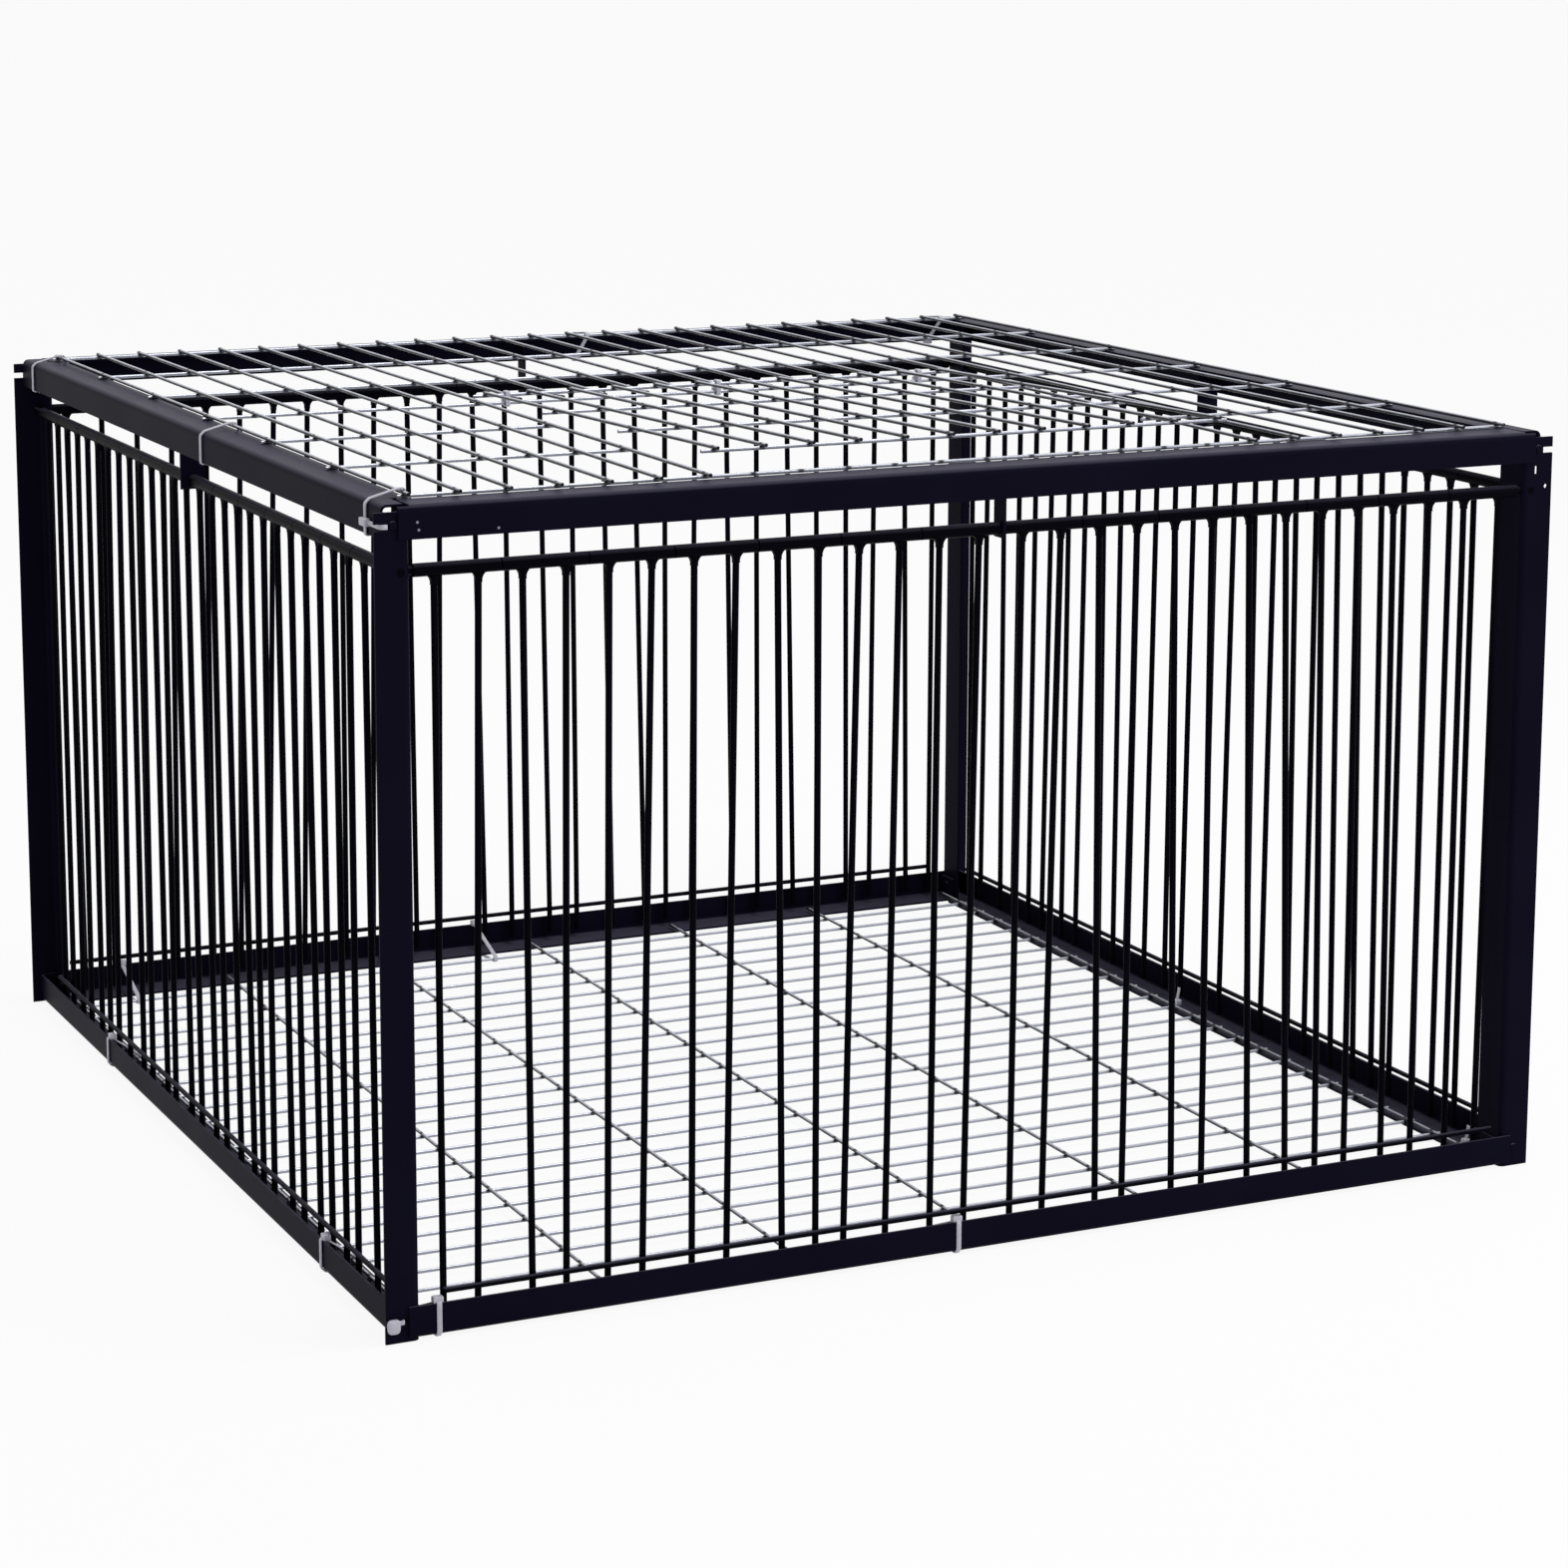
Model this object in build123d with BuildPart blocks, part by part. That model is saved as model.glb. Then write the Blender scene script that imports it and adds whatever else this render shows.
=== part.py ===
from build123d import *
import os

os.makedirs("parts", exist_ok=True)

# Frame, in mm: a square cage with its base centred on the origin
POST_EDGE = 245.0       # outer edge of a post's face flange, from the middle in x
FACE_PLANE = 245.0      # outer plane of the front and back rails, in y
SIDE_PLANE = 241.5      # outer plane of the left and right rails, in x
FRAME_TOP = 300.4       # top of the top rails
SHEET = 1.0             # folded sheet thickness
BEND = 2.4              # outside radius of a folded edge
END_BEND = 1.7          # outside radius where a side rail's end turns in

# Corner posts: angle with its closed corner towards the inside of the cage
POST_WEB = 232.0        # inside face of the web, in x
POST_FACE = FACE_PLANE - SHEET
POST_DEPTH = 16.0       # depth of the web, in y
POST_TOP = FRAME_TOP - 2.2
NOTCH_Z = 293.0         # open notch in the face flange's outer edge
LOW_NOTCH_Z = 7.6       # a second one, on the front left post only
NOTCH_DEEP = 4.4
NOTCH_TALL = 2.4
SLOT_AT = (237.6, 285.2)
SLOT_SIZE = (1.4, 3.2)
PIN_HOLE_AT = (242.4, 278.6)
PIN_HOLE_R = 0.9

# Rails: angle with a wide horizontal leg
RAIL_TALL = 12.0
RAIL_WIDE = 15.0
LOW_RAIL = 0.95         # underside of the bottom rails
FACE_RAIL_END = 236.4   # end of a front or back rail's upright leg
TAB_TALL = 10.6
SIDE_LEG_END = 227.0    # where a side rail's horizontal leg narrows to pass outside the web
LEG_CLEAR = 0.15        # between that narrow end and the web
SIDE_TAB = 6.9          # reach of a side rail's folded end, from its outer plane

# Curtain: rods, sleeves and bobs
ROD_R = 1.5
ROD_Z = 277.0
FACE_ROD = 4.2          # front and back rod, in from the rail's outer plane
SIDE_ROD = 6.05
SLEEVE_R = 2.4
BORE_R = ROD_R + 0.05   # running clearance on the rod
PITCH = 16.4            # between bobs
SLEEVE_GAP = 0.5
ROW_GAP = 0.85          # half of the extra gap at the hanger in mid row
UNITS = 14              # two-bob units on a side
BOB_R = 1.25
BOB_TIP = 5.5           # height of a bob's lower end
# Flare of weld where a bob meets its sleeve: half width along the rod and drop, from the top down
WELD = ((3.5, 1.7), (1.75, 3.0), (BOB_R, 5.6))
WELD_DEEP = 1.0         # half of its depth across the rod
# Sideways lean of each front bob at its tip, left to right
LEAN = (0.2, -3.1, 1.6, -1.7, -1.9, -4.7, -1.3, -3.8, 2.6, -0.1, -5.0, -3.9, -1.4, -3.5,
        -1.7, -4.0, 3.1, -1.5, 4.4, 1.6, 6.2, 7.4, 4.9, 2.0, 3.1, 0.6, 0.7, -1.5)

# Stop wires, just outside the bobs
STOP_R = 1.0
STOP_Z = 16.8
STOP_CLEAR = 0.3
STOP_TAIL = 6.5         # past its last weld

# Hangers that hold each rod at mid span
HANGER_WIDE = 7.7
HANGER_WIDE_SIDE = 10.0
HANGER_FOOT = 273.4

# Welded mesh of the top, the hatch and the floor
WIRE_R = 0.7
FINE = 19.05
COARSE = 76.2
WELD_IN = 0.1           # how far crossing wires sink into each other
TOP_FINE_FRONT = 234.0
TOP_FINE_BACK = 231.0
TOP_COARSE_END = 231.0
FLOOR_FINE_END = 231.0
FLOOR_COARSE_END = 236.0
FLOOR_MID = (-1.5, 6.3) # middle of the floor mesh, a little off centre
OPEN_HALF = 6           # the hatch opening's side wires, counted in fine pitches
HATCH_WIRES = 12
HATCH_MID = -6.0
HATCH_LIFT = 1.5        # degrees, as it rests
HATCH_GAP = 0.6

# Cable ties
TIE_T = 0.8
TIE_W = 2.4
TIE_HEAD = (4.2, 3.0, 2.6)
TIE_TAIL = 0.7          # thickness of a cut tail
TIE_CLEAR = 0.05
TIE_SLOT_AT = 239.9     # passage in the left bottom rail's upright, from the middle
RIGHT_TIES = (4.2, -225.0)
LEG_HOLE_IN = 11.3      # passages in the right bottom rail's leg, in from its outer plane

# Rivets
RIVET_R = 1.25
RIVET_HEAD = 1.65
RIVET_RISE = 0.8
FACE_RIVET_Y = 237.0
SIDE_RIVET_X = 238.15
RIVET_UP = 6.8          # from a rail's folded edge to its rivets

UP = Vector(0, 0, 1)
# Each side: the middle of its outer plane, the way along it, and the way in
SIDES = {
    "front": (Vector(0, -FACE_PLANE, 0), Vector(1, 0, 0), Vector(0, 1, 0)),
    "back": (Vector(0, FACE_PLANE, 0), Vector(-1, 0, 0), Vector(0, -1, 0)),
    "left": (Vector(-SIDE_PLANE, 0, 0), Vector(0, -1, 0), Vector(1, 0, 0)),
    "right": (Vector(SIDE_PLANE, 0, 0), Vector(0, 1, 0), Vector(-1, 0, 0)),
}
FACES = ("front", "back")
ROD_IN = {"front": FACE_ROD, "back": FACE_ROD, "left": SIDE_ROD, "right": SIDE_ROD}


def at(side, along, inward, z):
    """A point given along a side, inwards from its outer plane, and up."""
    middle, u, v = SIDES[side]
    return middle + u * along + v * inward + UP * z


def section(side, along, z=0.0):
    """Cross-section of a side: local x runs inwards and local y up."""
    return Plane(origin=at(side, along, 0, z), x_dir=SIDES[side][2], z_dir=SIDES[side][1])


def level(side, z):
    """Level plane on a side: local x runs along it and local y inwards."""
    return Plane(origin=at(side, 0, 0, z), x_dir=SIDES[side][1], z_dir=UP)


def round_corner(sketch, x, y, radius):
    """Round the corner of a sketch that lies nearest to a local point."""
    near = sorted(sketch.vertices(), key=lambda v: (v.X - x) ** 2 + (v.Y - y) ** 2)[0]
    fillet(near, radius=radius)


def box_at(x0, x1, y0, y1):
    """A rectangle between two pairs of limits in the current sketch."""
    with Locations(((x0 + x1) / 2, (y0 + y1) / 2)):
        Rectangle(abs(x1 - x0), abs(y1 - y0))


def save(part, name):
    part.label = name
    export_step(part, f"parts/{name}.step")


# Corner posts: folded angle, face flange outwards and web inwards
for fb, sy in (("front", -1), ("back", 1)):
    for lr, sx in (("left", -1), ("right", 1)):
        with BuildPart() as post:
            with BuildSketch() as plan:
                box_at(sx * POST_WEB, sx * POST_EDGE, sy * POST_FACE, sy * (POST_FACE - SHEET))
                box_at(sx * POST_WEB, sx * (POST_WEB + SHEET), sy * POST_FACE, sy * (POST_FACE - POST_DEPTH))
                round_corner(plan, sx * POST_WEB, sy * POST_FACE, BEND)
                round_corner(plan, sx * (POST_WEB + SHEET), sy * (POST_FACE - SHEET), BEND - SHEET)
            extrude(amount=POST_TOP)
            # rod hole and rivet holes through the web
            with BuildSketch(Plane(origin=(sx * POST_WEB, 0, 0), x_dir=(0, 1, 0), z_dir=(1, 0, 0))):
                with Locations((sy * (FACE_PLANE - FACE_ROD), ROD_Z)):
                    Circle(ROD_R)
                for z in (LOW_RAIL + RIVET_UP, FRAME_TOP - RIVET_UP):
                    with Locations((sy * FACE_RIVET_Y, z)):
                        Circle(RIVET_R)
            extrude(amount=2 * SHEET, both=True, mode=Mode.SUBTRACT)
            # rod hole, rivet holes and notches through the face flange
            with BuildSketch(Plane(origin=(0, sy * POST_FACE, 0), x_dir=(1, 0, 0), z_dir=(0, -1, 0))):
                with Locations((sx * (SIDE_PLANE - SIDE_ROD), ROD_Z)):
                    Circle(ROD_R)
                for z in (LOW_RAIL + RIVET_UP, FRAME_TOP - RIVET_UP):
                    with Locations((sx * SIDE_RIVET_X, z)):
                        Circle(RIVET_R)
                for z in (NOTCH_Z, LOW_NOTCH_Z) if (fb, lr) == ("front", "left") else (NOTCH_Z,):
                    with Locations((sx * (POST_EDGE - NOTCH_DEEP / 2), z)):
                        Rectangle(NOTCH_DEEP + 0.01, NOTCH_TALL)
                # the front right post also has a slot and a pin hole
                if (fb, lr) == ("front", "right"):
                    with Locations(SLOT_AT):
                        Rectangle(*SLOT_SIZE)
                    with Locations(PIN_HOLE_AT):
                        Circle(PIN_HOLE_R)
            extrude(amount=3 * SHEET, both=True, mode=Mode.SUBTRACT)
        save(post.part, f"post_{fb}_{lr}")


# Front and back rails: angle whose horizontal leg ends in tabs folded onto the webs
for side in FACES:
    for row, fold, out in (("top", FRAME_TOP, -1), ("bottom", LOW_RAIL, 1)):
        with BuildPart() as rail:
            with BuildSketch(section(side, -FACE_RAIL_END, fold)) as angle:
                box_at(0, SHEET, 0, out * RAIL_TALL)
                box_at(0, RAIL_WIDE, 0, out * SHEET)
                round_corner(angle, 0, 0, BEND)
                round_corner(angle, SHEET, out * SHEET, BEND - SHEET)
            extrude(amount=2 * FACE_RAIL_END)
            for end in (-1, 1):
                with BuildSketch(level(side, fold)):
                    box_at(end * POST_WEB, end * (FACE_RAIL_END + 1), SHEET, RAIL_WIDE + 1)
                extrude(amount=RAIL_TALL, both=True, mode=Mode.SUBTRACT)
                with BuildSketch(level(side, fold)):
                    box_at(end * (POST_WEB - SHEET), end * POST_WEB, BEND, RAIL_WIDE - 1)
                extrude(amount=out * TAB_TALL)
                with BuildSketch(section(side, end * POST_WEB, fold)):
                    with Locations((FACE_PLANE - FACE_RIVET_Y, out * RIVET_UP)):
                        Circle(RIVET_R)
                extrude(amount=2 * SHEET, both=True, mode=Mode.SUBTRACT)
        save(rail.part, f"{row}_rail_{side}")


# Left and right rails: angle whose upright leg ends in tabs folded onto the posts' faces
for side in ("left", "right"):
    reach = POST_FACE - SHEET
    outside = SIDE_PLANE - POST_WEB - SHEET - LEG_CLEAR
    for row, fold, out in (("top", FRAME_TOP, -1), ("bottom", LOW_RAIL, 1)):
        with BuildPart() as rail:
            with BuildSketch(section(side, -reach + BEND, fold)) as angle:
                box_at(0, SHEET, 0, out * RAIL_TALL)
                box_at(0, RAIL_WIDE, 0, out * SHEET)
                round_corner(angle, 0, 0, BEND)
                round_corner(angle, SHEET, out * SHEET, BEND - SHEET)
            extrude(amount=2 * (reach - BEND))
            for end in (-1, 1):
                with BuildSketch(level(side, fold)):
                    box_at(end * SIDE_LEG_END, end * reach, outside, RAIL_WIDE + 1)
                extrude(amount=RAIL_TALL, both=True, mode=Mode.SUBTRACT)
                with BuildSketch(level(side, fold + out * BEND)) as turn:
                    box_at(end * (reach - 2 * BEND), end * reach, 0, SHEET)
                    box_at(end * (reach - SHEET), end * reach, 0, SIDE_TAB)
                    round_corner(turn, end * reach, 0, END_BEND)
                    round_corner(turn, end * (reach - SHEET), SHEET, END_BEND - SHEET)
                extrude(amount=out * (RAIL_TALL - BEND))
                with BuildSketch(section(side, end * reach, fold)):
                    with Locations((SIDE_PLANE - SIDE_RIVET_X, out * RIVET_UP)):
                        Circle(RIVET_R)
                extrude(amount=2 * SHEET, both=True, mode=Mode.SUBTRACT)
            # passages for ties: through the left one's upright, and through the right one's leg
            if (row, side) == ("bottom", "left"):
                with BuildSketch(Plane(origin=at(side, TIE_SLOT_AT, 0, LOW_NOTCH_Z), x_dir=SIDES[side][1],
                                       z_dir=SIDES[side][2])):
                    Rectangle(TIE_T + 4 * TIE_CLEAR, NOTCH_TALL)
                extrude(amount=2 * SHEET, both=True, mode=Mode.SUBTRACT)
            if (row, side) == ("bottom", "right"):
                with BuildSketch(level(side, fold)):
                    with Locations(*[(along, LEG_HOLE_IN) for along in RIGHT_TIES]):
                        Rectangle(TIE_W + 0.2, TIE_T + 4 * TIE_CLEAR)
                extrude(amount=2 * SHEET, both=True, mode=Mode.SUBTRACT)
        save(rail.part, f"{row}_rail_{side}")


# Curtain rods, held in holes at the posts
for side in SIDES:
    half = POST_WEB + SHEET if side in FACES else POST_FACE
    with BuildPart() as rod:
        with BuildSketch(section(side, -half, ROD_Z)):
            with Locations((ROD_IN[side], 0)):
                Circle(ROD_R)
        extrude(amount=2 * half)
    save(rod.part, f"rod_{side}")


# Hangers: flat plates from the top rail down around the rod
for side in SIDES:
    wide = HANGER_WIDE if side in FACES else HANGER_WIDE_SIDE
    with BuildPart() as hanger:
        with BuildSketch(section(side, 0)) as plate:
            box_at(SHEET, SHEET + wide, HANGER_FOOT, FRAME_TOP - SHEET)
            round_corner(plate, SHEET, FRAME_TOP - SHEET, BEND - SHEET)
            with Locations((ROD_IN[side], ROD_Z)):
                Circle(ROD_R, mode=Mode.SUBTRACT)
        extrude(amount=SHEET / 2, both=True)
    save(hanger.part, f"hanger_{side}")


def unit_mid(n):
    """Where unit n (0 to 13) stands along its rod."""
    k = n - UNITS // 2
    return (ROW_GAP if k >= 0 else -ROW_GAP) + (2 * k + 1) * PITCH


def leans(side):
    """Leans of a side's bobs in its own direction, the neighbours' patterns matched at the corners."""
    return LEAN if side in FACES else tuple(-a for a in reversed(LEAN))


def bob_plane(side, index, drop):
    """Plane across bob number index (0 to 27), drop mm down its axis from the rod."""
    foot = unit_mid(index // 2) + (PITCH / 2 if index % 2 else -PITCH / 2)
    long = ROD_Z - BOB_TIP
    down = (SIDES[side][1] * leans(side)[index] - UP * long).normalized()
    return Plane(origin=at(side, foot, ROD_IN[side], ROD_Z) + down * drop,
                 x_dir=SIDES[side][2], z_dir=down)


def add_unit(side, n, bore):
    """One swinging unit: a sleeve on the rod with two welded wire bobs."""
    half = PITCH - SLEEVE_GAP / 2
    with BuildSketch(section(side, unit_mid(n) - half, ROD_Z)) as ring:
        with Locations((ROD_IN[side], 0)):
            Circle(SLEEVE_R)
            Circle(bore, mode=Mode.SUBTRACT)
    extrude(ring.sketch, amount=2 * half)
    for index in (2 * n, 2 * n + 1):
        start = (bore + SLEEVE_R) / 2
        with BuildSketch(bob_plane(side, index, start)) as wire:
            Circle(BOB_R)
        extrude(wire.sketch, amount=ROD_Z - BOB_TIP - start)
        across = bob_plane(side, index, 0)
        with BuildSketch(Plane(origin=across.origin, x_dir=across.y_dir, z_dir=across.x_dir)) as weld:
            with BuildLine():
                right = ThreePointArc(*[(along, drop) for along, drop in WELD])
                left = ThreePointArc(*[(-along, drop) for along, drop in WELD])
                Line(right @ 0, left @ 0)
                Line(right @ 1, left @ 1)
            make_face()
        extrude(weld.sketch, amount=WELD_DEEP, both=True)


# Fixed end units, pressed onto the rod beside the posts
for side in SIDES:
    with BuildPart() as ends:
        add_unit(side, 0, ROD_R)
        add_unit(side, UNITS - 1, ROD_R)
    save(ends.part, f"end_bobs_{side}")


# Swinging units, hung in neighbouring pairs
for side in SIDES:
    for pair in range((UNITS - 2) // 2):
        with BuildPart() as bobs:
            add_unit(side, 2 * pair + 1, BORE_R)
            add_unit(side, 2 * pair + 2, BORE_R)
        save(bobs.part, f"bobs_{side}_{pair + 1}")


# Stop wires, welded across the feet of the end units on the outer side of the bobs
for side in SIDES:
    wire_in = ROD_IN[side] - BOB_R - STOP_CLEAR - STOP_R
    drop = ROD_Z - STOP_Z
    with BuildPart() as stop:
        feet = []
        for index in (0, 2 * UNITS - 1):
            plane = bob_plane(side, index, drop)
            feet.append((plane.origin - SIDES[side][0]).dot(SIDES[side][1]))
        with BuildSketch(section(side, feet[0], STOP_Z)):
            with Locations((wire_in, 0)):
                Circle(STOP_R)
        extrude(amount=feet[1] - feet[0] + STOP_TAIL)
        with Locations(at(side, feet[0], wire_in, STOP_Z)):
            Sphere(STOP_R)
        for foot in feet:
            with BuildSketch(Plane(origin=at(side, foot, wire_in, STOP_Z), x_dir=SIDES[side][1],
                                   z_dir=SIDES[side][2])):
                Circle(STOP_R)
            extrude(amount=ROD_IN[side] - wire_in)
        for index in (0, 2 * UNITS - 1):
            with BuildSketch(bob_plane(side, index, drop - 10)):
                Circle(BOB_R)
            extrude(amount=20, mode=Mode.SUBTRACT)
    save(stop.part, f"stop_wire_{side}")


def wires_along_y(xs, y0, y1, z):
    """Parallel round wires running front to back."""
    with BuildSketch(Plane(origin=(0, y0, z), x_dir=(1, 0, 0), z_dir=(0, 1, 0))) as ends:
        with Locations(*[(x, 0) for x in xs]):
            Circle(WIRE_R)
    extrude(ends.sketch, amount=y1 - y0)


def wires_along_x(ys, x0, x1, z):
    """Parallel round wires running left to right."""
    with BuildSketch(Plane(origin=(x0, 0, z), x_dir=(0, 1, 0), z_dir=(1, 0, 0))) as ends:
        with Locations(*[(y, 0) for y in ys]):
            Circle(WIRE_R)
    extrude(ends.sketch, amount=x1 - x0)


LAYER = 2 * WIRE_R - WELD_IN
TOP_COARSE_Z = FRAME_TOP + WIRE_R
TOP_FINE_Z = TOP_COARSE_Z + LAYER
OPEN_X = OPEN_HALF * FINE
OPEN_TAIL = 3.0

# Top mesh, its coarse wires lying on the top rails: the half behind the hatch opening, the strips on the
# opening's two sides, which run on from it, and the front wire, into which their ends are welded
with BuildPart() as mesh_back:
    wires_along_y([k * FINE for k in range(-12, 13)], -WIRE_R, TOP_FINE_BACK, TOP_FINE_Z)
    wires_along_x([k * COARSE for k in range(4)], -TOP_COARSE_END, TOP_COARSE_END, TOP_COARSE_Z)
with BuildPart() as mesh_left:
    wires_along_y([k * FINE for k in range(-12, 1 - OPEN_HALF)], -TOP_FINE_FRONT, -WIRE_R, TOP_FINE_Z)
    wires_along_x([-COARSE, -2 * COARSE], -TOP_COARSE_END, -OPEN_X + OPEN_TAIL, TOP_COARSE_Z)
with BuildPart() as mesh_right:
    wires_along_y([k * FINE for k in range(OPEN_HALF, 13)], -TOP_FINE_FRONT, -WIRE_R, TOP_FINE_Z)
    wires_along_x([-COARSE, -2 * COARSE], OPEN_X - OPEN_TAIL, TOP_COARSE_END, TOP_COARSE_Z)
with BuildPart() as mesh_front:
    wires_along_x([-3 * COARSE], -TOP_COARSE_END, TOP_COARSE_END, TOP_COARSE_Z)
    add([mesh_left.part, mesh_right.part], mode=Mode.SUBTRACT)
save(Compound([mesh.part.solid() for mesh in (mesh_back, mesh_left, mesh_right, mesh_front)]), "top_mesh")

# Floor mesh, lying on the bottom rails
FLOOR_FINE_Z = LOW_RAIL + SHEET + WIRE_R
with BuildPart() as floor_mesh:
    wires_along_x([FLOOR_MID[1] + k * FINE for k in range(-12, 12)], -FLOOR_FINE_END, FLOOR_FINE_END,
                  FLOOR_FINE_Z)
    wires_along_y([FLOOR_MID[0] + k * COARSE for k in range(-3, 4)], -FLOOR_COARSE_END, FLOOR_COARSE_END,
                  FLOOR_FINE_Z + LAYER)
save(floor_mesh.part, "floor_mesh")

# Hatch: a mesh panel over the opening, hinged on its own back wire
HINGE_Z = TOP_FINE_Z + 2 * WIRE_R + HATCH_GAP
HATCH_HALF = (HATCH_WIRES - 1) / 2 * FINE
hatch_xs = [HATCH_MID - HATCH_HALF + k * FINE for k in range(HATCH_WIRES)]
with BuildPart() as hatch:
    wires_along_x([-k * COARSE for k in range(4)], HATCH_MID - HATCH_HALF - 5, HATCH_MID + HATCH_HALF + 5, 0)
    wires_along_y(hatch_xs, -3 * COARSE - 4, WIRE_R, LAYER)
hatch_part = Location((0, 0, HINGE_Z), (-HATCH_LIFT, 0, 0)) * hatch.part
save(hatch_part, "hatch")


def tie(side, along, inside, head_at):
    """Nylon tie drawn round an outline given as (inwards, up) points, with its head at one more."""
    with BuildSketch(section(side, along)) as strap:
        with BuildLine():
            Polyline(*inside, close=True)
        make_face()
        offset(amount=TIE_T, kind=Kind.ARC)
        with BuildLine():
            Polyline(*inside, close=True)
        make_face(mode=Mode.SUBTRACT)
    extrude(strap.sketch, amount=TIE_W / 2, both=True)
    if head_at:
        with BuildSketch(section(side, along)) as head:
            with Locations(head_at):
                Rectangle(TIE_HEAD[1], TIE_HEAD[2])
            with BuildLine():
                Polyline(*inside, close=True)
            make_face(mode=Mode.SUBTRACT)
        extrude(head.sketch, amount=TIE_HEAD[0] / 2, both=True)


CORNER = BEND * (2 ** 0.5 - 1)
EDGE = BEND - CORNER
MESH_EDGE = FACE_PLANE - 12 * FINE      # outermost top wires, inwards from the front plane
SIDE_EDGE = SIDE_PLANE - 12 * FINE
# Outermost floor wires, inwards from each side's outer plane
FLOOR_EDGE = {
    "front": FACE_PLANE - 12 * FINE + FLOOR_MID[1],
    "back": FACE_PLANE - 11 * FINE - FLOOR_MID[1],
    "left": SIDE_PLANE - 3 * COARSE + FLOOR_MID[0],
    "right": SIDE_PLANE - 3 * COARSE - FLOOR_MID[0],
}

# Ties that hold the top mesh to the rails
with BuildPart() as top_ties:
    top = FRAME_TOP
    for side, along in (("left", 226.3), ("left", 33.0), ("left", -222.0),
                        ("back", -1.5 * FINE), ("back", -11.5 * FINE)):
        if side in FACES:
            over = [(MESH_EDGE - 0.7, top + 1.45), (MESH_EDGE + 0.75, top + 1.45),
                    (MESH_EDGE + 0.75, top + 0.2), (RAIL_WIDE + 0.2, top - 1.05)]
        else:
            over = [(SIDE_EDGE - 1.2, top + 2.75), (SIDE_EDGE + 0.75, top + 2.75),
                    (SIDE_EDGE + 0.75, top + 1.2), (RAIL_WIDE, top), (RAIL_WIDE, top - SHEET)]
        ring = [(0, top - RAIL_TALL), (0, top - EDGE), (EDGE, top)] + over + [(SHEET, top - RAIL_TALL)]
        tie(side, along, ring, None if along > 200 else (3.2, top - RAIL_TALL + 0.2))
    # the front left tie has its head outside, and its tail runs forward through the post's notch
    with BuildSketch(level("left", NOTCH_Z - TIE_HEAD[1] / 2)) as head:
        box_at(226.3 - TIE_W / 2, 226.3 + TIE_W / 2 + TIE_HEAD[0], -TIE_HEAD[2], -TIE_CLEAR)
    extrude(head.sketch, amount=TIE_HEAD[1])
    with BuildSketch(level("left", NOTCH_Z - TIE_W / 2 + 0.25)) as tail:
        with BuildLine():
            Polyline((231.0, -1.3), (FACE_PLANE - SHEET + TIE_CLEAR + TIE_TAIL / 2, -1.3),
                     (FACE_PLANE - SHEET + TIE_CLEAR + TIE_TAIL / 2, 1.4))
            offset(amount=TIE_TAIL / 2, side=Side.BOTH)
        make_face()
    extrude(tail.sketch, amount=TIE_W - 0.5)
save(top_ties.part, "top_ties")

# Ties that hold the floor mesh to the rails
with BuildPart() as floor_ties:
    low = LOW_RAIL
    for side, along in (("left", -127.0), ("left", 163.2), ("front", -225.25), ("front", -16.6),
                        ("back", 26.0), ("back", 202.5)):
        edge = FLOOR_EDGE[side] + 0.75
        if side in FACES:
            under = [(RAIL_WIDE, low), (edge, low + 1.0), (edge, low + 2.45)]
        else:
            under = [(RAIL_WIDE, low), (RAIL_WIDE, low + SHEET), (edge, low + 3.75)]
        ring = [(0, low + RAIL_TALL), (0, low + EDGE), (EDGE, low)] + under + [(SHEET, low + RAIL_TALL)]
        tie(side, along, ring, (1.7, low + RAIL_TALL + 1.0))
    # on the right they pass through the rail's leg, with the head up and a cut tail beside it
    for along in RIGHT_TIES:
        wire = FLOOR_EDGE["right"]
        hole = LEG_HOLE_IN + TIE_T / 2
        ring = [(hole, low), (RAIL_WIDE, low), (wire + 0.75, low + 2.4), (wire + 0.75, low + 3.75),
                (wire - 0.75, low + 3.75), (hole, low + SHEET)]
        tie("right", along, ring, (hole + 0.9, low + 4.6))
        with BuildSketch(section("right", along + 0.9)) as tail:
            with BuildLine():
                Polyline((hole + 0.9, low + 4.6), (hole - 0.8, low + 11.0))
                offset(amount=TIE_TAIL / 2, side=Side.BOTH)
            make_face()
        extrude(tail.sketch, amount=TIE_W / 2, both=True)
    # the tie at the front left foot takes a rivet's place: round the post's edge and the rail's end
    with BuildSketch(level("left", LOW_NOTCH_Z)) as strap:
        ring = [(POST_FACE + TIE_CLEAR, 2.85), (POST_FACE + TIE_CLEAR, -TIE_CLEAR),
                (TIE_SLOT_AT + TIE_T / 2, -TIE_CLEAR), (TIE_SLOT_AT + TIE_T / 2, SHEET + TIE_CLEAR),
                (POST_FACE - 2 * SHEET - TIE_CLEAR, 2.85)]
        with BuildLine():
            Polyline(*ring, close=True)
        make_face()
        offset(amount=TIE_T, kind=Kind.ARC)
        with BuildLine():
            Polyline(*ring, close=True)
        make_face(mode=Mode.SUBTRACT)
    extrude(strap.sketch, amount=0.95, both=True)
    with BuildSketch(Plane(origin=at("left", POST_FACE + TIE_CLEAR, 0, LOW_NOTCH_Z - 0.8),
                           x_dir=SIDES["left"][2], z_dir=SIDES["left"][1])) as head:
        with Locations((-0.9, 0)):
            RectangleRounded(5.0, 5.6, 1.2)
    extrude(head.sketch, amount=TIE_HEAD[2])
save(floor_ties.part, "floor_ties")

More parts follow.
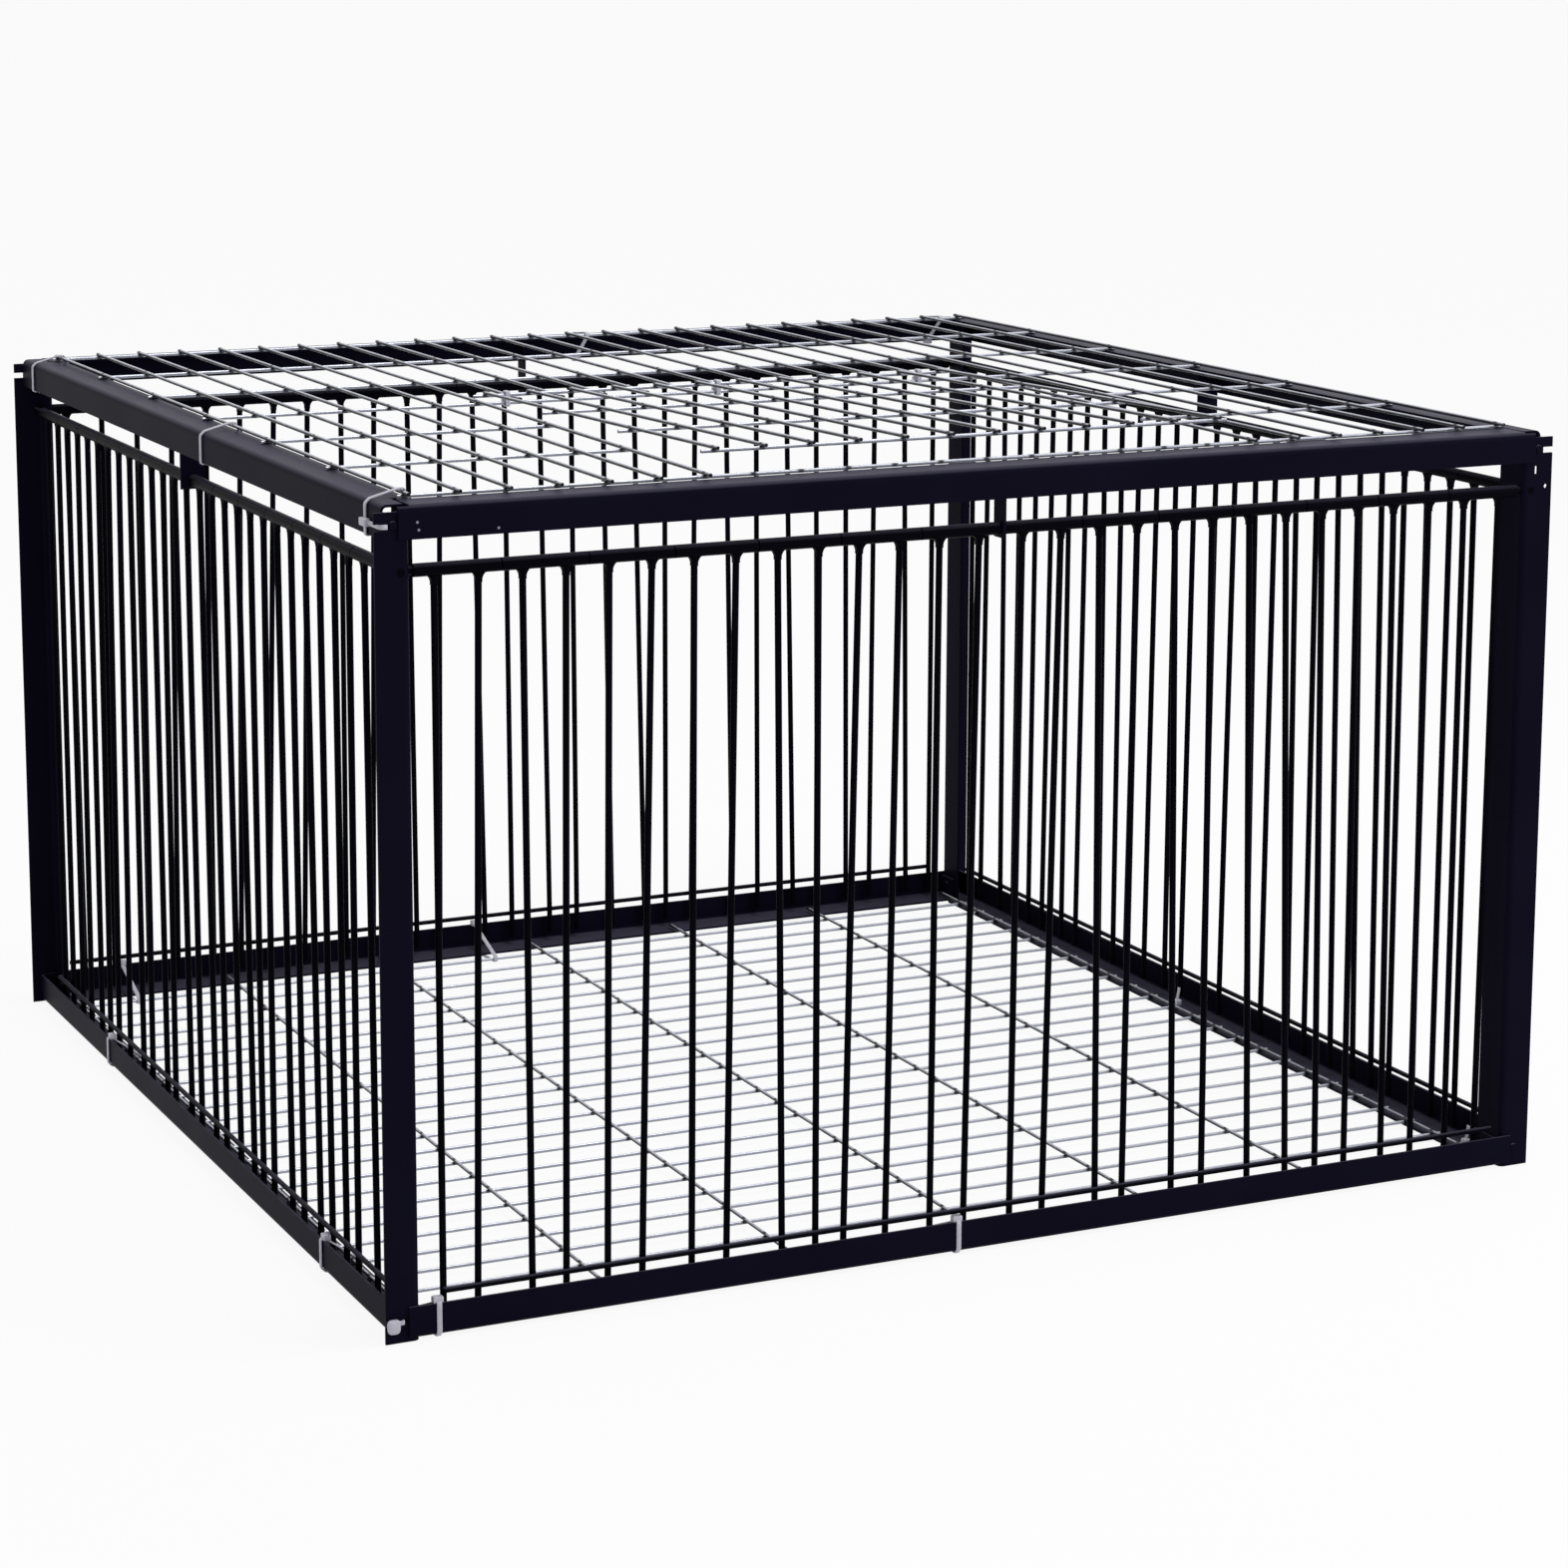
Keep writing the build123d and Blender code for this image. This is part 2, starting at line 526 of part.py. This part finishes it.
# Ties that hinge the hatch's back wire to the mesh wire under it
with BuildPart() as hatch_ties:
    for gap in (0, 5, 10):
        x = hatch_xs[gap] + FINE / 2
        inner = WIRE_R + 0.35
        low = TOP_COARSE_Z - WIRE_R
        high = HINGE_Z + inner
        with BuildSketch(Plane(origin=(x, 0, 0), x_dir=(0, 1, 0), z_dir=(1, 0, 0))):
            box_at(-inner - TIE_T, inner + TIE_T, low - TIE_T, high + TIE_T)
            box_at(inner, inner + TIE_HEAD[2], low - 0.4, low - 0.4 + TIE_HEAD[1])
            with Locations((0, (low + high) / 2)):
                Rectangle(2 * inner, high - low, mode=Mode.SUBTRACT)
        extrude(amount=TIE_W / 2, both=True)
save(hatch_ties.part, "hatch_ties")


def rivet(point, axis):
    """Rivet through two sheets: point on the mating plane, axis along the shank."""
    with BuildSketch(Plane(origin=point - axis * SHEET, z_dir=axis)) as shank:
        Circle(RIVET_R)
    extrude(shank.sketch, amount=2 * SHEET)
    for way in (-1, 1):
        with BuildSketch(Plane(origin=point + axis * (way * SHEET), z_dir=axis * way)) as head:
            Circle(RIVET_HEAD)
        extrude(head.sketch, amount=RIVET_RISE, taper=20)


# Rivets through the rails' folded tabs
with BuildPart() as rivets:
    for sx in (-1, 1):
        for sy in (-1, 1):
            for z in (LOW_RAIL + RIVET_UP, FRAME_TOP - RIVET_UP):
                rivet(Vector(sx * POST_WEB, sy * FACE_RIVET_Y, z), Vector(1, 0, 0))
                if (sx, sy) != (-1, -1) or z > FRAME_TOP / 2:
                    rivet(Vector(sx * SIDE_RIVET_X, sy * (POST_FACE - SHEET), z), Vector(0, 1, 0))
save(rivets.part, "rivets")
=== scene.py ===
import math

import bpy
import numpy as np
from mathutils import Matrix, Vector


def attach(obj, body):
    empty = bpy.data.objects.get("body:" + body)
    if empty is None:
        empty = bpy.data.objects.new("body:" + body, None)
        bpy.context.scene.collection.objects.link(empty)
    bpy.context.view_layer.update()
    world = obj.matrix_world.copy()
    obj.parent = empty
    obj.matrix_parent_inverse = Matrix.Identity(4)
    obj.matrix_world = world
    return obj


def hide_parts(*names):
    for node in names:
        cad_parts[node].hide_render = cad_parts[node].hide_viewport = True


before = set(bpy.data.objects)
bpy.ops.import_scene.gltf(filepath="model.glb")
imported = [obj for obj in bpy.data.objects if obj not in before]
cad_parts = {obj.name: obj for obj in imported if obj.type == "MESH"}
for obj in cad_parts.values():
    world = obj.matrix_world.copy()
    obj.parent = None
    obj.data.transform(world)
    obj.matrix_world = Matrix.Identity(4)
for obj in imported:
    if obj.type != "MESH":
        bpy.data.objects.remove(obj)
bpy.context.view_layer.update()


# Corner posts, rails, hangers and rivets.
# Folded mild steel sheet, punched and then powder coated black. The coat is baked on, so it has a fine
# orange-peel ripple. Faces that look up get a paler grey, a painted highlight for light from above, and
# the coat is chipped at the front left.
def linear(hex_colour):
    """sRGB hex to linear RGBA: divide by 12.92 below 0.04045, else ((c + 0.055) / 1.055) ** 2.4."""
    c = np.array([int(hex_colour[i:i + 2], 16) for i in (1, 3, 5)]) / 255
    return (*np.where(c <= 0.04045, c / 12.92, ((c + 0.055) / 1.055) ** 2.4), 1.0)


def fill(tree, node, inputs):
    """Gives each input, by name or number, its value, or links it to its (node, output)."""
    for key, value in inputs.items():
        if isinstance(value, tuple) and isinstance(value[0], bpy.types.Node):
            tree.links.new(value[0].outputs[value[1]], node.inputs[key])
        else:
            node.inputs[key].default_value = value


def add(tree, kind, inputs, **properties):
    """Adds a shader node of a kind, sets its properties and fills its inputs."""
    node = tree.nodes.new("ShaderNode" + kind)
    for key, value in properties.items():
        setattr(node, key, value)
    fill(tree, node, inputs)
    return node


def mix(tree, factor, first, second):
    """Colour between two, each a colour or a (node, output), by a factor from 0 to 1."""
    first_colour, second_colour, colour_out = 6, 7, 2
    node = add(tree, "Mix", {"Factor": factor, first_colour: first, second_colour: second}, data_type="RGBA")
    return node, colour_out


def new_material(name):
    """A node material with its Principled shader, ready for its pattern nodes."""
    material = bpy.data.materials.new(name)
    material.use_nodes = True
    return material, material.node_tree, material.node_tree.nodes["Principled BSDF"]


def paint(node, material):
    """Gives a CAD node's object one material."""
    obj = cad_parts[node]
    obj.data.materials.clear()
    obj.data.materials.append(material)


def coat(name, dark, pale, painted_top_light, roughness, ripple, chips=()):
    """Baked black coating: slow cloudiness in colour and shine, a fine rippled skin, a paler tone painted
    on faces that look up as a highlight from above, and chips as small pale spots, each within 0.6 mm
    of its point."""
    cloud_size = 0.045
    chip_core, chip_edge = 0.0003, 0.0006
    # far below a real coat's 0.5, because the mirrored white surround would turn the black faces grey
    mirror_level = 0.009
    material, tree, shader = new_material(name)
    place = add(tree, "TexCoord", {})
    point = (place, "Object")
    cloud = add(tree, "TexNoise", {"Scale": 1 / cloud_size, "Detail": 4.0, "Vector": point})
    upward = add(tree, "SeparateXYZ", {"Vector": (place, "Normal")})
    # painted highlight: faces that look up turn towards the paler tone, as if lit from above
    lit_from_above = add(tree, "MapRange", {"From Min": 0.45, "From Max": 0.9, "Value": (upward, "Z")})
    tone = mix(tree, (cloud, "Fac"), linear(dark), linear(pale))
    colour = mix(tree, (lit_from_above, "Result"), tone, linear(painted_top_light))
    for chip in chips:
        away = add(tree, "VectorMath", {0: point, 1: chip}, operation="DISTANCE")
        bare = add(tree, "MapRange", {"From Min": chip_core, "From Max": chip_edge,
                                      "To Min": 1.0, "To Max": 0.0, "Value": (away, "Value")})
        colour = mix(tree, (bare, "Result"), colour, linear("#9a9aa4"))
    shine = add(tree, "MapRange", {"To Min": roughness - 0.06, "To Max": roughness + 0.08,
                                   "Value": (cloud, "Fac")})
    peel = add(tree, "TexNoise", {"Scale": 1 / ripple, "Detail": 2.0, "Vector": point})
    bump = add(tree, "Bump", {"Strength": 0.12, "Distance": 0.0002, "Height": (peel, "Fac")})
    fill(tree, shader, {"Base Color": colour, "Roughness": (shine, "Result"), "Normal": (bump, "Normal"),
                        "Specular IOR Level": mirror_level, "Specular Tint": linear("#c9c4ff")})
    return material


front_chips = [(-0.2295, -0.245, 0.2943), (-0.2290, -0.245, 0.2916), (-0.1997, -0.245, 0.2905)]
sheet_coat = coat("satin black powder coat on sheet steel", "#0e0c18", "#161424", "#403e4c",
                  roughness=0.36, ripple=0.0016, chips=front_chips)
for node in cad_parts:
    if node.startswith(("post", "top_rail", "bottom_rail", "hanger", "rivets")):
        paint(node, sheet_coat)

# Rods, sleeves, bobs and stop wires.
# Bright drawn wire and thin tube, welded and then dipped black. The thin coat follows the drawn
# surface, so it is smoother and a little glossier than the sheet.
# faces that look up get a paler tone: a painted highlight along the tops of rods, sleeves and stop wires
wire_coat = coat("black dipped steel wire", "#06060a", "#0b0b12", "#3b3945", roughness=0.32, ripple=0.0009)
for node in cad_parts:
    if node.startswith(("rod", "bobs", "end_bobs", "stop_wire")):
        paint(node, wire_coat)


# Top mesh, hatch and floor mesh.
# Welded wire dipped in zinc: pale and cool, softly mirrored with faint spangle, and burnt darker at
# each weld, which sits where a fine wire crosses a coarse one.
def zinc(name, pitch, first, between, slope):
    """Galvanised wire with a painted highlight on its upper side and painted shade under it, the shade
    deepest on the upper layer, and burnt at the points of its weld lattice. Pitch and first line, both
    along X and Y, give the lattice, and the layers part at the height between + slope * y."""
    spangle_size, cloud_size = 0.003, 0.012
    weld_core, weld_edge = 0.0007, 0.0017
    parting = 0.0001
    material, tree, shader = new_material(name)
    place = add(tree, "TexCoord", {})
    point = (place, "Object")
    spangle = add(tree, "TexVoronoi", {"Scale": 1 / spangle_size, "Vector": point})
    cloud = add(tree, "TexNoise", {"Scale": 1 / cloud_size, "Detail": 3.0, "Vector": point})
    apart = add(tree, "SeparateXYZ", {"Vector": point})
    # PINGPONG is 0 at each line of the lattice and pitch / 2 half way to the next
    off_line = []
    for axis, step, start in zip("XY", pitch, first):
        moved = add(tree, "Math", {0: (apart, axis), 1: start}, operation="SUBTRACT")
        off_line.append(add(tree, "Math", {0: (moved, "Value"), 1: step / 2}, operation="PINGPONG"))
    reach = add(tree, "Math", {0: (off_line[0], "Value"), 1: (off_line[1], "Value")}, operation="MAXIMUM")
    burnt = add(tree, "MapRange", {"From Min": weld_core, "From Max": weld_edge,
                                   "To Min": 1.0, "To Max": 0.0, "Value": (reach, "Value")})
    upward = add(tree, "SeparateXYZ", {"Vector": (place, "Normal")})
    # painted highlight: wire faces that look up turn pale, with a random mottle added
    topside = add(tree, "MapRange", {"From Min": 0.3, "From Max": 0.95, "Value": (upward, "Z")})
    mottle = add(tree, "MapRange", {"To Min": -0.2, "To Max": 0.2, "Value": (cloud, "Fac")})
    top_highlight_and_mottle = add(tree, "Math", {0: (topside, "Result"), 1: (mottle, "Result")},
                 operation="ADD", use_clamp=True)
    level = add(tree, "Math", {0: (apart, "Y"), 1: -slope, 2: (apart, "Z")}, operation="MULTIPLY_ADD")
    layer = add(tree, "MapRange", {"From Min": between - parting, "From Max": between + parting,
                                   "Value": (level, "Value")})
    # painted shade: the wires' undersides are darker, deepest under the upper layer
    under = mix(tree, (layer, "Result"), linear("#979aa4"), linear("#17171c"))
    tone = mix(tree, (top_highlight_and_mottle, "Value"), under, linear("#c6c8d3"))
    welded = mix(tree, (burnt, "Result"), tone, linear("#3c3b43"))
    shine = add(tree, "MapRange", {"To Min": 0.28, "To Max": 0.5, "Value": (spangle, "Distance")})
    bump = add(tree, "Bump", {"Strength": 0.15, "Distance": 0.0001, "Height": (cloud, "Fac")})
    fill(tree, shader, {"Base Color": welded, "Roughness": (shine, "Result"), "Normal": (bump, "Normal"),
                        "Metallic": 0.85})
    return material


fine, coarse = 0.01905, 0.0762
paint("top_mesh", zinc("hot-dip zinc on top mesh", (fine, coarse), (0.0, 0.0), 0.30175, 0.0))
paint("hatch", zinc("hot-dip zinc on hatch", (fine, coarse), (-0.110775, 0.0), 0.30505, -0.02619))
paint("floor_mesh", zinc("hot-dip zinc on floor mesh", (coarse, fine), (-0.0015, 0.0063), 0.0033, 0.0))

# Cable ties.
# Injection-moulded natural nylon: a flat strap drawn round rail and mesh, its end pulled through a block
# of a head and cut off. Milky and slightly see-through, with a soft waxy shine.
nylon, tree, shader = new_material("natural nylon cable tie")
place = add(tree, "TexCoord", {})
cloud = add(tree, "TexNoise", {"Scale": 1 / 0.004, "Detail": 2.0, "Vector": (place, "Object")})
milky = mix(tree, (cloud, "Fac"), linear("#b2b1bd"), linear("#cfcdd9"))
fill(tree, shader, {"Base Color": milky, "Roughness": 0.4, "Subsurface Weight": 0.3,
                    "Subsurface Radius": (0.002, 0.002, 0.002)})

# the ties' sizes are in mm: the straps and cut tails, and a head's half sizes along, in and up
strap_wide, strap_thick = 2.0, 0.7
tail_wide, tail_thick = 1.8, 0.6
head_half = (2.0, 1.5, 1.3)
upright = (0, 0, 1)

# each side has the middle of its outer plane, the way along it and the way in
face_plane, side_plane = 245.0, 241.5
sides = {"front": ((0, -face_plane, 0), (1, 0, 0), (0, 1, 0)),
         "back": ((0, face_plane, 0), (-1, 0, 0), (0, -1, 0)),
         "left": ((-side_plane, 0, 0), (0, -1, 0), (1, 0, 0)),
         "right": ((side_plane, 0, 0), (0, 1, 0), (-1, 0, 0)),
         "hatch": ((0, 0, 0), (1, 0, 0), (0, 1, 0))}


def spot(side, along, inward, height):
    """Points of a side: its middle + along * its way along + inward * its way in, at the height."""
    middle, way, into = (np.array(v, float) for v in sides[side])
    along, inward, height = np.broadcast_arrays(along, inward, height)
    return middle + along[..., None] * way + inward[..., None] * into + height[..., None] * upright


def drawn_round(outline, out=0.42, steps=112):
    """Closed line round an outline: its corners moved out through a fan of normals, taken at equal steps
    and then averaged with its neighbours, so that the strap turns softly."""
    corner = np.array(outline, float)
    following = np.roll(corner, -1, 0)
    twice_area = np.sum(corner[:, 0] * following[:, 1] - following[:, 0] * corner[:, 1])
    if twice_area < 0:
        corner = corner[::-1]
    edge = np.roll(corner, -1, 0) - corner
    normal = np.stack([edge[:, 1], -edge[:, 0]], -1) / np.linalg.norm(edge, axis=1, keepdims=True)
    part = np.linspace(0, 1, 7)[None, :, None]
    fan = (1 - part) * np.roll(normal, 1, 0)[:, None] + part * normal[:, None]
    fan = fan / np.linalg.norm(fan, axis=2, keepdims=True)
    line = (corner[:, None] + out * fan).reshape(-1, 2)
    line = np.vstack([line, line[:1]])
    run = np.concatenate([[0], np.cumsum(np.linalg.norm(np.diff(line, axis=0), axis=1))])
    at = np.linspace(0, run[-1], steps, endpoint=False)
    line = np.stack([np.interp(at, run, line[:, 0]), np.interp(at, run, line[:, 1])], -1)
    return (np.roll(line, 1, 0) + 2 * line + np.roll(line, -1, 0)) / 4


def lattice(rows, columns):
    """Quads between neighbours of a grid of points whose rows are closed rings, from each row to the next."""
    i, j = np.meshgrid(np.arange(rows - 1), np.arange(columns), indexing="ij")
    beside = (j + 1) % columns
    corners = [i * columns + j, i * columns + beside, (i + 1) * columns + beside, (i + 1) * columns + j]
    return np.stack(corners, -1).reshape(-1, 4)


def strap(path, across, wide, thick, closed):
    """Strap along a path: a rounded rectangle, |a / half width|^4 + |b / half thickness|^4 = 1, carried
    along it, with b along the path's tangent x across."""
    rows, columns = len(path), 12
    turn = np.linspace(0, 2 * np.pi, columns, endpoint=False)
    a = wide / 2 * np.sign(np.cos(turn)) * np.abs(np.cos(turn)) ** 0.5
    b = thick / 2 * np.sign(np.sin(turn)) * np.abs(np.sin(turn)) ** 0.5
    across = np.array(across, float)
    ahead = (np.roll(path, -1, 0) - np.roll(path, 1, 0)) if closed else np.gradient(path, axis=0)
    normal = np.cross(ahead, across)
    normal = normal / np.linalg.norm(normal, axis=1, keepdims=True)
    points = path[:, None] + a[None, :, None] * across + b[None, :, None] * normal[:, None]
    if closed:
        faces = (lattice(rows + 1, columns) % (rows * columns)).tolist()
    else:
        last_row = list(range((rows - 1) * columns, rows * columns))
        faces = lattice(rows, columns).tolist() + [list(range(columns))[::-1], last_row]
    return points.reshape(-1, 3), faces


def head(middle, half, power=0.3):
    """Rounded block: a sphere's coordinates, each to a power below 1 with its sign kept, times half sizes."""
    rings, columns = 11, 24
    up, turn = np.meshgrid(np.linspace(-np.pi / 2, np.pi / 2, rings + 2)[1:-1],
                           np.linspace(0, 2 * np.pi, columns, endpoint=False), indexing="ij")
    ball = np.stack([np.cos(up) * np.cos(turn), np.cos(up) * np.sin(turn), np.sin(up)], -1).reshape(-1, 3)
    ball = np.vstack([ball, [(0, 0, -1), (0, 0, 1)]])
    points = np.array(middle) + np.array(half) * np.sign(ball) * np.abs(ball) ** power
    here, beside = np.arange(columns), (np.arange(columns) + 1) % columns
    last_ring = (rings - 1) * columns
    lowest, highest = rings * columns, rings * columns + 1
    low_fan = np.stack([np.full(columns, lowest), beside, here], -1)
    high_fan = np.stack([np.full(columns, highest), last_ring + here, last_ring + beside], -1)
    return points, lattice(rings, columns).tolist() + low_fan.tolist() + high_fan.tolist()


def tie(side, along, outline, head_at=None, half=head_half, tail_to=None):
    """Strap round an outline of (inward, height) points, with a head and a tail bowed from it to a point."""
    line = drawn_round(outline)
    way, into = np.array(sides[side][1]), np.array(sides[side][2])
    made = [strap(spot(side, along, line[:, 0], line[:, 1]), way, strap_wide, strap_thick, True)]
    if head_at:
        size = np.abs(half[0] * way + half[1] * into) + (0, 0, half[2])
        made.append(head(spot(side, along, *head_at), size))
    if tail_to:
        share = np.linspace(0, 1, 12)
        reach = np.array(head_at) + share[:, None] * (np.array(tail_to) - np.array(head_at))
        bowed = along + 0.4 + 0.8 * share ** 2
        made.append(strap(spot(side, bowed, reach[:, 0], reach[:, 1]), way, tail_wide, tail_thick, False))
    return made


def group(name, made, node):
    """One mesh of all the ties of a group, in metres, riding on the frame in the place of its CAD node."""
    first = np.cumsum([0] + [len(points) for points, _ in made])
    faces = [[k + start for k in face] for (_, some), start in zip(made, first) for face in some]
    mesh = bpy.data.meshes.new(name)
    mesh.from_pydata(np.concatenate([points for points, _ in made]) / 1000, [], faces)
    mesh.polygons.foreach_set("use_smooth", np.ones(len(faces), bool))
    mesh.materials.append(nylon)
    piece = bpy.data.objects.new(name, mesh)
    bpy.context.collection.objects.link(piece)
    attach(piece, "frame")
    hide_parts(node)


# Ties of the top.
# Each goes round a top rail and the mesh's outermost wire. The front left one's head sits outside, and its
# tail lies along the rail and bends in at the post's notch.
top = 300.4
rail_tall, rail_wide, sheet, bend, wire = 12.0, 15.0, 1.0, 1.4, 0.75
mesh_half = 228.6
side_edge, face_edge = side_plane - mesh_half, face_plane - mesh_half
outer = [(0, top - rail_tall), (0, top - bend), (bend, top)]
inner = (sheet, top - rail_tall)
over_side = outer + [(side_edge - 1.2, top + 2.75), (side_edge + wire, top + 2.75),
                     (side_edge + wire, top + 1.2), (rail_wide, top), (rail_wide, top - sheet), inner]
over_face = outer + [(face_edge - 0.7, top + 1.45), (face_edge + wire, top + 1.45),
                     (face_edge + wire, top + 0.2), (rail_wide + 0.2, top - 1.05), inner]
under_rail = (3.2, top - 11.8)
made = tie("left", 226.3, over_side)
for side, along, outline in (("left", 33.0, over_side), ("left", -222.0, over_side),
                             ("back", -28.6, over_face), ("back", -219.1, over_face)):
    made += tie(side, along, outline, under_rail)
made.append(head(spot("left", 228.3, -1.32, 293.0), (1.25, 3.2, 1.45)))
bent_tail = np.array([(230.5, -1.3), (242.6, -1.3), (244.0, -1.0), (244.4, -0.2), (244.4, 1.3)])
made.append(strap(spot("left", bent_tail[:, 0], bent_tail[:, 1], 293.2), upright,
                  tail_wide, tail_thick, False))
group("cable_ties_top", made, "top_ties")

# Ties of the floor.
# Each goes round a bottom rail and the floor mesh's outermost wire. On the right they pass through the
# rail's leg, and one at the front left foot goes round the post's edge, with its round head in front.
low = 0.95
over_rail = (1.7, low + 12.95)
made = []
for side, mesh_edge, along in (("left", 12.15, -127.0), ("left", 12.15, 163.2), ("front", 23.45, -225.25),
                               ("front", 23.45, -16.6), ("back", 29.9, 26.0), ("back", 29.9, 202.5)):
    outline = [(0, low + rail_tall), (0, low + bend), (bend, low), (rail_wide, low)]
    if side == "left":
        outline += [(rail_wide, low + sheet), (mesh_edge, low + 3.75)]
    else:
        outline += [(mesh_edge, low + 1.0), (mesh_edge, low + 2.45)]
    made += tie(side, along, outline + [(sheet, low + rail_tall)], over_rail)
hole, last_wire = 11.7, 14.4
through_leg = [(hole, low), (rail_wide, low), (last_wire + wire, low + 2.4), (last_wire + wire, low + 3.75),
               (last_wire - wire, low + 3.75), (hole, low + sheet)]
for along in (4.2, -225.0):
    made += tie("right", along, through_leg, (12.6, low + 4.6), tail_to=(10.9, low + 10.95))
foot = drawn_round([(244.05, 2.85), (244.05, -0.05), (240.3, -0.05), (240.3, 1.05), (241.95, 2.85)])
made.append(strap(spot("left", foot[:, 0], foot[:, 1], 7.6), upright, tail_wide, strap_thick, True))
made.append(head(spot("left", 245.3, -0.9, 6.8), (2.4, 1.2, 2.7), power=0.6))
group("cable_ties_floor", made, "floor_ties")

# Ties of the hatch.
# Three loops round the hatch's back wire and the mesh wire under it, on which the hatch turns.
loop_half, loop_top = 1.05, 305.45
loop = [(-loop_half, top), (loop_half, top), (loop_half, loop_top), (-loop_half, loop_top)]
made = []
for along in (-101.25, -6.0, 89.25):
    made += tie("hatch", along, loop, (2.35, top + 1.1), half=(1.15, 1.25, 1.45))
group("cable_ties_hatch", made, "hatch_ties")


# Studio.
# A white floor just under the feet, which keeps a faint shadow, a white surround, and soft lamps overhead
# and at the right.
def seen(tree):
    """1 for the rays that show the background: camera, glossy and transmission rays; 0 for the others."""
    path = add(tree, "LightPath", {})
    either = add(tree, "Math", {0: (path, "Is Camera Ray"), 1: (path, "Is Glossy Ray")}, operation="MAXIMUM")
    return add(tree, "Math", {0: (either, "Value"), 1: (path, "Is Transmission Ray")}, operation="MAXIMUM")


floor_half, under_feet = 30, -0.0002
corners = [(x * floor_half, y * floor_half, under_feet) for x, y in ((-1, -1), (1, -1), (1, 1), (-1, 1))]
ground = bpy.data.meshes.new("floor")
ground.from_pydata(corners, [], [(0, 1, 2, 3)])
floor = bpy.data.objects.new("floor", ground)
bpy.context.collection.objects.link(floor)

white = (1, 1, 1, 1)
lit_share = 0.91
material, tree, shader = new_material("white studio floor")
fill(tree, shader, {"Base Color": linear("#f4f4f4"), "Roughness": 0.9, "Specular IOR Level": 0.0})
glow = add(tree, "Emission", {"Color": white, "Strength": 1.0})
share = add(tree, "Math", {0: (seen(tree), "Value"), 1: lit_share}, operation="MULTIPLY")
both = add(tree, "MixShader", {0: (share, "Value"), 1: (shader, "BSDF"), 2: (glow, "Emission")})
fill(tree, tree.nodes["Material Output"], {"Surface": (both, "Shader")})
ground.materials.append(material)

world = bpy.data.worlds.new("studio surround")
bpy.context.scene.world = world
world.use_nodes = True
tree = world.node_tree
strength = add(tree, "MapRange", {"To Min": 0.55, "To Max": 1.0, "Value": (seen(tree), "Value")})
fill(tree, tree.nodes["Background"], {"Color": white, "Strength": (strength, "Result")})

middle_of_trap = Vector((0, 0, 0.15))
for name, at, energy, size in (("overhead softbox", (0.45, -0.35, 2.0), 15, 0.6),
                               ("right softbox", (1.35, -1.45, 0.75), 7, 0.5)):
    light = bpy.data.lights.new(name, "AREA")
    light.energy = energy
    light.size = size
    lamp = bpy.data.objects.new(name, light)
    bpy.context.collection.objects.link(lamp)
    lamp.location = at
    lamp.rotation_mode = "QUATERNION"
    lamp.rotation_quaternion = (middle_of_trap - lamp.location).to_track_quat("-Z", "Y")

# Camera.
# It stands at the photograph's angle, in front, to the left and a little above, with a long lens and its
# frame shifted down a little, as in the photograph.
photo_px, focal_px, axis_row_px, sensor = 1572, 3916.1, 600, 36.0
yaw, pitch, roll = math.radians(-25.322), math.radians(9.977), math.radians(0.181)
ahead = Vector((-math.sin(yaw) * math.cos(pitch), math.cos(yaw) * math.cos(pitch), -math.sin(pitch)))
right = Vector((math.cos(yaw), math.sin(yaw), 0))
up = right.cross(ahead)
right, up = right * math.cos(roll) + up * math.sin(roll), up * math.cos(roll) - right * math.sin(roll)
stand = Matrix((right, up, -ahead)).transposed().to_4x4()
stand.translation = Vector((-0.68173, -1.49468, 0.50096))
lens = bpy.data.cameras.new("camera")
lens.sensor_width = sensor
lens.lens = sensor * focal_px / photo_px
lens.shift_y = -(photo_px / 2 - axis_row_px) / photo_px
lens.clip_start, lens.clip_end = 0.05, 50
camera = bpy.data.objects.new("camera", lens)
camera.matrix_world = stand
bpy.context.collection.objects.link(camera)
bpy.context.scene.camera = camera

bpy.context.scene.view_settings.view_transform = "Standard"
